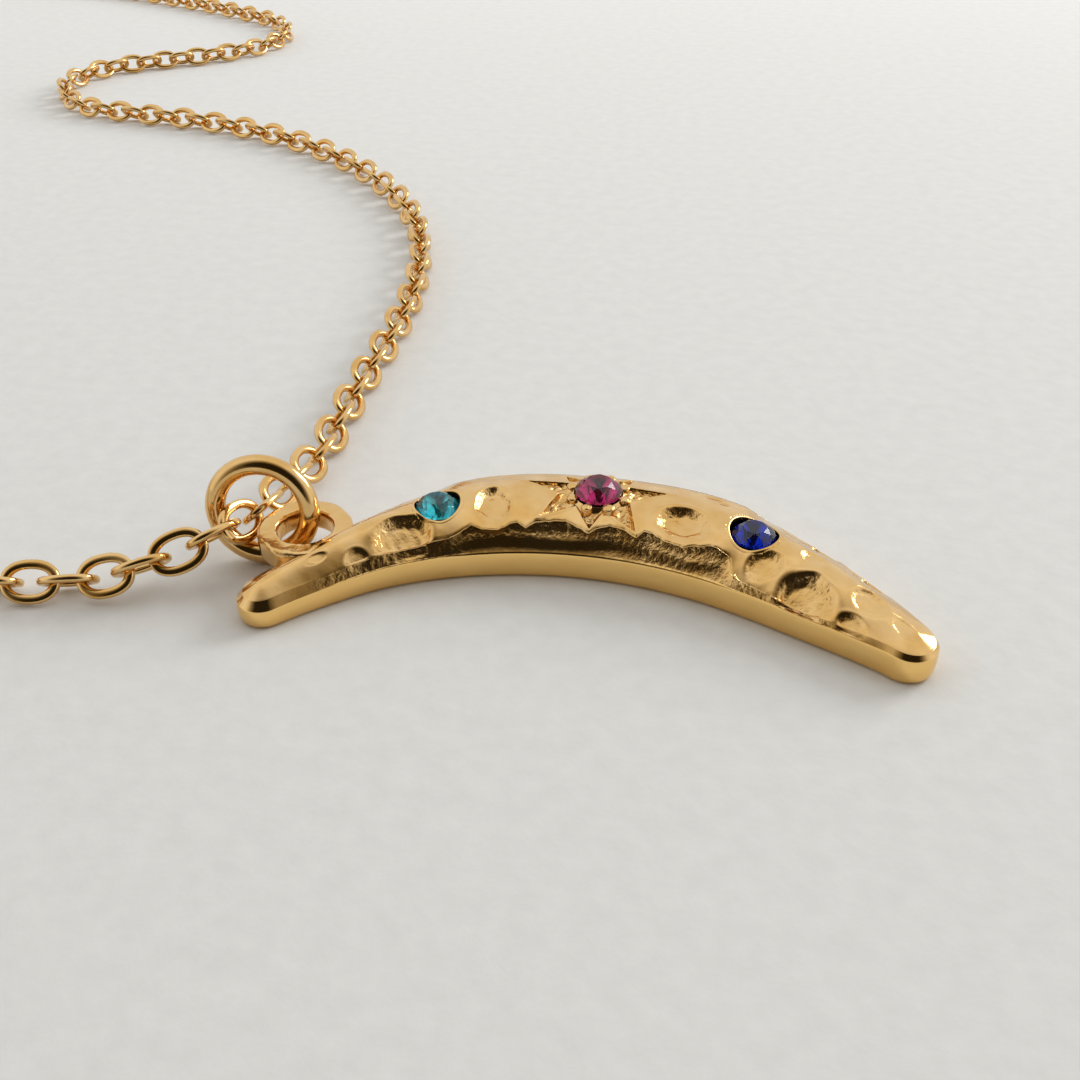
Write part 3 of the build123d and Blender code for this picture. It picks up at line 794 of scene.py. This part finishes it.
def loopSheet():
    # Rows go round the hole; columns go round a rounded-square section, a superellipse
    turn = np.linspace(0, 2 * np.pi, loop["turnSteps"], endpoint=False)[:, None]
    around = np.linspace(0, 2 * np.pi, loop["sectionSteps"], endpoint=False)[None]
    across, upward = superEllipse(around, loop["wall"] / 2, loop["thickness"] / 2, loop["corner"])
    radius = (loop["hole"] + loop["wall"]) / 2 + across
    x, y = radius * np.cos(turn), radius * np.sin(turn)
    heightSize, radiusSize = loop["wearSizes"]
    fineWear, fineSize = loop["fineWear"]
    z = loop["bottom"] + loop["thickness"] / 2 + upward
    z = z + loop["wear"] * ripple(x, y, heightSize, 51) + fineWear * ripple(x, y, fineSize, 54)
    radius = radius + loop["wear"] * ripple(x + z, y, radiusSize, 52)
    x, y = loop["x"] + radius * np.cos(turn), loop["y"] + radius * np.sin(turn)
    mean, spread = loop["grain"]
    grain = np.clip(mean + spread * ripple(x, y, loop["grainSize"], 53), 0, 1)
    points = np.stack([x, y, z], -1)
    return {"points": points, "closeRows": True, "closeColumns": True, "flip": True, "grain": grain}


beads = {
    "count": 8,
    "start": 26,
    "radius": 1.45,
    "width": 0.62,
    "uneven": (0.12, 2.4),  # share of the width that changes, and the turn from bead to bead in its sine
    "base": -0.08,  # height of a dome's foot over the boss
    "dome": 0.15,
    "skirt": 0.45,
    "wear": (0.03, 0.3),
    "grain": 0.45,
    "slantSteps": 8,
    "turnSteps": 20,
}


def beadSheets():
    # Each bead is a low dome: height falls as the cosine of the slant from its middle, down to a skirt
    sheets = []
    ruby = stones["ruby_stone"]
    slantSteps = beads["slantSteps"]
    slant = np.append(np.linspace(0, np.pi / 2, slantSteps), np.pi / 2)[:, None]
    skirt = np.append(np.zeros(slantSteps), beads["skirt"])[:, None]
    turn = np.linspace(0, 2 * np.pi, beads["turnSteps"], endpoint=False)[None]
    uneven, unevenTurn = beads["uneven"]
    wave, waveSize = beads["wear"]
    for i in range(beads["count"]):
        way = np.radians(beads["start"] + i * 360 / beads["count"])
        size = beads["width"] / 2 * (1 + uneven * np.sin(i * unevenTurn))
        x = ruby["x"] + beads["radius"] * np.cos(way) + size * np.sin(slant) * np.cos(turn)
        y = ruby["y"] + beads["radius"] * np.sin(way) + size * np.sin(slant) * np.sin(turn)
        z = crescent["height"] + beads["base"] + beads["dome"] * np.cos(slant) - skirt
        points = np.stack([x, y, z + wave * ripple(x, y, waveSize, 60 + i)], -1)
        sheets.append({"points": points, "closeColumns": True, "flip": True, "grain": beads["grain"]})
    return sheets


# Height of the smooth crown at a place, from its distance to the middle line
def crownHeight(x, y):
    share = np.degrees(np.arctan2(x, y - centreY)) / crescent["halfAngle"]
    offset = np.hypot(x, y - centreY) - sectionValue(share, "radius")
    _, height, _, shoulder, sag = sectionSizes(share)
    return height - sag * crownFall(offset / shoulder)


# A sleeve for each stone: a thin burnished rim on the crown that turns down into the pit's wall, which is
# painted dark as painted shade
def sleeveSheets():
    sheets = []
    turn = np.linspace(0, 2 * np.pi, pitLook["turnSteps"], endpoint=False)
    for stone in stones.values():
        rows, shades = [], []
        for out, lift in pitLook["rim"] + [(0, -np.inf)]:
            x = stone["x"] + (stone["edge"] + out) * np.cos(turn)
            y = stone["y"] + (stone["edge"] + out) * np.sin(turn)
            height = crownHeight(x, y)
            top = height + reliefAt(x, y, height, 1, 0)[0]
            rows.append(np.stack([x, y, np.maximum(top + lift, stone["floor"])], -1))
            # The rows down in the pit are painted dark, a painted shade
            shades.append(np.full(len(turn), out == 0, float))
        sheet = {"points": np.stack(rows), "closeColumns": True, "grain": pitLook["rimGrain"]}
        sheets.append({**sheet, "shade": np.stack(shades)})
    return sheets


moonSheets = [crescentSheet(), loopSheet()] + beadSheets() + sleeveSheets()
moonPiece = addSheets("crescent_relief", moonSheets, castGold)
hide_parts("crescent_moon")
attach(moonPiece, "root")
print("crescent done")

# Ring, chain and clasp


# Corners of a CAD node's mesh in mm
def nodePoints(name):
    mesh = nodes[name].data
    flat = np.empty(len(mesh.vertices) * 3)
    mesh.vertices.foreach_get("co", flat)
    return flat.reshape(-1, 3) / millimetre


# Axes of a cloud of points, its longest first, and the middle of its reach along them
def mainAxes(points):
    axes = np.linalg.eigh(np.cov((points - points.mean(0)).T))[1].T[::-1]
    along = points @ axes.T
    return (along.max(0) + along.min(0)) / 2 @ axes, axes


ring = {"wire": 1.05, "wear": 0.006, "swells": 5, "turnSteps": 220, "sectionSteps": 36}


# The ring as its solid lies: a circle of circles about the solid's middle, whose wire swells a little
def ringSheet():
    points = nodePoints("jump_ring")
    centre, axes = mainAxes(points)
    radius = np.linalg.norm(points - centre, axis=1).max() - ring["wire"] / 2
    turns = np.linspace(0, 2 * np.pi, ring["turnSteps"], endpoint=False)
    around = np.linspace(0, 2 * np.pi, ring["sectionSteps"], endpoint=False)
    spokes = np.cos(turns)[:, None] * axes[0] + np.sin(turns)[:, None] * axes[1]
    across, upward = superEllipse(around, ring["wire"] / 2, ring["wire"] / 2, 2.0)
    swell = 1 + ring["wear"] * np.sin(turns * ring["swells"])[:, None, None]
    plan = (centre + spokes * radius)[:, None] + spokes[:, None] * across[:, None] * swell
    flip = np.dot(np.cross(axes[0], axes[1]), axes[2]) > 0
    return {
        "points": plan + axes[2] * upward[:, None] * swell,
        "closeRows": True,
        "closeColumns": True,
        "flip": flip,
    }


ringPiece = addSheets("jump_ring_wire", [ringSheet()], wireGold)
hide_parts("jump_ring")
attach(ringPiece, "root")

links = {
    "left": 114,
    "right": 115,
    "length": 3.08,
    "width": 2.30,
    "wire": 0.51,
    "thickness": 0.40,
    "round": 2.8,
    "oval": 2.25,
    "turnSteps": 44,
    "sectionSteps": 12,
}


# Points of one link about its middle: the section is carried round an oval, both superellipses
def linkShape():
    around, section = links["turnSteps"], links["sectionSteps"]
    turn = np.linspace(0, 2 * np.pi, around, endpoint=False)
    halfLength, halfWidth = (links["length"] - links["wire"]) / 2, (links["width"] - links["wire"]) / 2
    centre = np.stack(superEllipse(turn, halfLength, halfWidth, links["oval"]), -1)
    forward = np.roll(centre, -1, 0) - np.roll(centre, 1, 0)
    forward /= np.linalg.norm(forward, axis=1)[:, None]
    outward = np.stack([forward[:, 1], -forward[:, 0]], -1)
    turn = np.linspace(0, 2 * np.pi, section, endpoint=False)
    across, upward = superEllipse(turn, links["wire"] / 2, links["thickness"] / 2, links["round"])
    plan = centre[:, None] + outward[:, None] * across[None, :, None]
    return np.concatenate([plan, np.broadcast_to(upward[None, :, None], (around, section, 1))], -1)


# Every link of a chain node is the one link shape, turned to the axes of its solid and moved to its
# middle
def chainPiece(node, count, pieceName):
    clouds = nodePoints(node).reshape(count, -1, 3)
    shape = linkShape()
    sheets = []
    for cloud in clouds:
        centre, axes = mainAxes(cloud)
        normal = np.cross(axes[0], axes[1])
        points = centre + shape @ np.stack([axes[0], axes[1], normal])
        sheets.append({"points": points, "closeRows": True, "closeColumns": True, "flip": True})
    piece = addSheets(pieceName, sheets, wireGold)
    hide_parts(node)
    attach(piece, "root")


chainPiece("chain_left", links["left"], "chain_left_links")
chainPiece("chain_right", links["right"], "chain_right_links")
print("chain done")

nodes["clasp"].data.materials.clear()
nodes["clasp"].data.materials.append(wireGold)

# Stones

# Heights as shares of the stone's width, places as shares of its radius
cut = {
    "crown": 0.21,
    "girdle": 0.06,
    "pavilion": 0.43,
    "table": 0.54,
    "crownMiddle": 0.80,
    "pavilionMiddle": 0.45,
    "inset": 0.004,
}


# Brilliant cut. Facet planes pass through a table corner and the girdle, so on them height falls evenly
# with the distance along that corner's direction; the points between two planes follow from that
def stonePiece(name, stone):
    radius = stone["radius"] - cut["inset"]
    width = 2 * radius
    crown, girdle, depth = cut["crown"] * width, cut["girdle"] * width, cut["pavilion"] * width
    table = cut["table"] * radius
    halfCorner = np.pi / 8
    crownPoint = cut["crownMiddle"] * radius
    kiteHeight = crown * (radius - crownPoint * np.cos(halfCorner)) / (radius - table)
    backPoint = cut["pavilionMiddle"] * radius
    backHeight = -girdle - depth + depth * backPoint * np.cos(halfCorner) / radius
    # Corners at each level: count, turn by half a corner, distance from the middle, height
    levels = [
        (8, 0, table, crown),
        (8, 1, crownPoint, kiteHeight),
        (16, 0, radius, 0),
        (16, 0, radius, -girdle),
        (8, 1, backPoint, backHeight),
    ]
    points = []
    for count, shift, out, height in levels:
        turn = (np.arange(count) + shift / 2) * 2 * np.pi / count
        points.append(np.stack([out * np.cos(turn), out * np.sin(turn), turn * 0 + height], -1))
    points = np.concatenate(points + [np.array([[0, 0, -girdle - depth]])])
    points = (points + np.array([stone["x"], stone["y"], stone["top"] - crown])) * millimetre
    top, edge, low, back, culet = 8, 16, 32, 48, 56
    i = np.arange(8)
    following, before = (i + 1) % 8, (i + 7) % 8
    even, odd, nextEven = 2 * i, 2 * i + 1, (2 * i + 2) % 16
    girdleHere = np.arange(16)
    girdleNext = (girdleHere + 1) % 16
    crownFacets = [
        [following, i, top + i],
        [i, top + before, edge + even, top + i],
        [top + i, edge + even, edge + odd],
        [top + i, edge + odd, edge + nextEven],
        [edge + girdleHere, low + girdleHere, low + girdleNext, edge + girdleNext],
    ]
    backFacets = [
        [culet + 0 * i, back + i, low + even, back + before],
        [back + i, low + odd, low + even],
        [back + i, low + nextEven, low + odd],
    ]
    front = [list(range(8))] + [face for facets in crownFacets for face in np.stack(facets, -1).tolist()]
    behind = [face for facets in backFacets for face in np.stack(facets, -1).tolist()]
    mesh = bpy.data.meshes.new(name + "_cut")
    mesh.from_pydata(points.tolist(), [], front + behind)
    for material in stoneMaterials(name, stone["glass"], stone["foil"]):
        mesh.materials.append(material)
    mesh.polygons.foreach_set("material_index", [0] * len(front) + [1] * len(behind))
    mesh.shade_flat()
    piece = bpy.data.objects.new(name + "_cut", mesh)
    bpy.context.scene.collection.objects.link(piece)
    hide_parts(name)
    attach(piece, "root")
    print("piece", piece.name, len(mesh.polygons), "facets")


for name, stone in stones.items():
    stonePiece(name, stone)
print("stones done")

# Floor, light and camera

card = {
    "half": 1.5,  # metres
    "fibreSize": 1.2,
    "fibreDepth": 0.03,
    "paper": [(0.3, (0.94, 0.94, 0.925)), (0.7, (0.99, 0.99, 0.975))],
    # Painted shade: the card is painted darker on the near side, where less light falls: its tint runs
    # over 0.2 m from 0.05 m before the origin
    "paintedNearShade": [(0.0, (0.80, 0.80, 0.79)), (1.0, (1.0, 0.995, 0.985))],
    "fadeLength": 0.20,
    "fadeStart": 0.25,
    "roughness": 0.9,
}
floorMaterial, floorTree, floorSurface = newMaterial("paleCard")
floorCoordinates = floorTree.nodes.new("ShaderNodeTexCoord").outputs["Object"]
fibre = noiseNode(floorTree, floorCoordinates, card["fibreSize"], 6.0)
paper = rampNode(floorTree, fibre, card["paper"])
axesNode = floorTree.nodes.new("ShaderNodeSeparateXYZ")
floorTree.links.new(floorCoordinates, axesNode.inputs[0])
alongCard = mathNode(floorTree, "MULTIPLY", axesNode.outputs["Y"], 1 / card["fadeLength"])
# Painted shade: the card's colour darkens towards the near side
paintedNearShade = rampNode(floorTree, mathNode(floorTree, "ADD", alongCard, card["fadeStart"]), card["paintedNearShade"])
tinted = floorTree.nodes.new("ShaderNodeMix")
tinted.data_type = "RGBA"
tinted.blend_type = "MULTIPLY"
tinted.inputs["Factor"].default_value = 1.0
floorTree.links.new(paper, tinted.inputs["A"])
floorTree.links.new(paintedNearShade, tinted.inputs["B"])
floorTree.links.new(tinted.outputs["Result"], floorSurface.inputs["Base Color"])
floorSurface.inputs["Roughness"].default_value = card["roughness"]
floorBump = bumpNode(floorTree, fibre, card["fibreDepth"])
floorTree.links.new(floorBump.outputs[0], floorSurface.inputs["Normal"])

half = card["half"]
floorMesh = bpy.data.meshes.new("floor")
floorCorners = [(-half, -half, 0), (half, -half, 0), (half, half, 0), (-half, half, 0)]
floorMesh.from_pydata(floorCorners, [], [(0, 1, 2, 3)])
floorMesh.materials.append(floorMaterial)
floor = bpy.data.objects.new("floor", floorMesh)
bpy.context.scene.collection.objects.link(floor)

camera = {
    "place": (3.7, -49.53, 37.2),
    "pitch": 36.6,
    "heading": (-0.13554524, 0.99077116),
    "focal": 1150.0 / 1080.0,  # share of the picture's width
    "sensor": 36.0,
    "clip": (0.002, 20.0),  # metres
}
pitch = np.radians(camera["pitch"])
headingX, headingY = camera["heading"]
aim = Vector((headingX * np.cos(pitch), headingY * np.cos(pitch), -np.sin(pitch)))
lens = bpy.data.cameras.new("camera")
lens.sensor_width = camera["sensor"]
lens.lens = camera["focal"] * camera["sensor"]
lens.clip_start, lens.clip_end = camera["clip"]
view = bpy.data.objects.new("camera", lens)
bpy.context.scene.collection.objects.link(view)
right = aim.cross(Vector((0, 0, 1))).normalized()
up = right.cross(aim)
turned = Matrix((right, up, -aim)).transposed().to_4x4()
view.matrix_world = Matrix.Translation(Vector(camera["place"]) * millimetre) @ turned
bpy.context.scene.camera = view
bpy.context.scene.view_settings.view_transform = "Standard"

studio = {
    "sky": 1.09,
    # The room is pale, but for a dark side where the viewer stands: which way it lies, and how the room
    # falls off towards it, by the cosine to it
    "darkWay": (0.10, -0.86, 0.50),
    "skyStops": [
        (0.0, (0.80, 0.80, 0.795)),
        (0.30, (0.90, 0.90, 0.895)),
        (0.56, (0.72, 0.71, 0.69)),
        (0.75, (0.25, 0.21, 0.14)),
        (0.89, (0.02, 0.016, 0.010)),
    ],
    "windowPlace": (730, 600, 440),
    "windowSize": 450,
    "windowWatts": 5.0,
}
world = bpy.data.worlds.new("studio")
bpy.context.scene.world = world
world.use_nodes = True
worldTree = world.node_tree
worldTree.nodes.clear()
worldOut = worldTree.nodes.new("ShaderNodeOutputWorld")
background = worldTree.nodes.new("ShaderNodeBackground")
worldTree.links.new(background.outputs[0], worldOut.inputs[0])
wayOut = worldTree.nodes.new("ShaderNodeTexCoord").outputs["Generated"]
facing = worldTree.nodes.new("ShaderNodeVectorMath")
facing.operation = "DOT_PRODUCT"
worldTree.links.new(wayOut, facing.inputs[0])
facing.inputs[1].default_value = Vector(studio["darkWay"]).normalized()
sky = rampNode(worldTree, facing.outputs["Value"], studio["skyStops"])
worldTree.links.new(sky, background.inputs["Color"])
background.inputs["Strength"].default_value = studio["sky"]

light = bpy.data.lights.new("window", "AREA")
light.size = studio["windowSize"] * millimetre
light.energy = studio["windowWatts"]
window = bpy.data.objects.new("window", light)
bpy.context.scene.collection.objects.link(window)
windowPlace = Vector(studio["windowPlace"])
windowTurn = (-windowPlace).normalized().to_track_quat("-Z", "Y").to_matrix().to_4x4()
window.matrix_world = Matrix.Translation(windowPlace * millimetre) @ windowTurn
print("floor, light and camera ready")

bpy.context.view_layer.update()
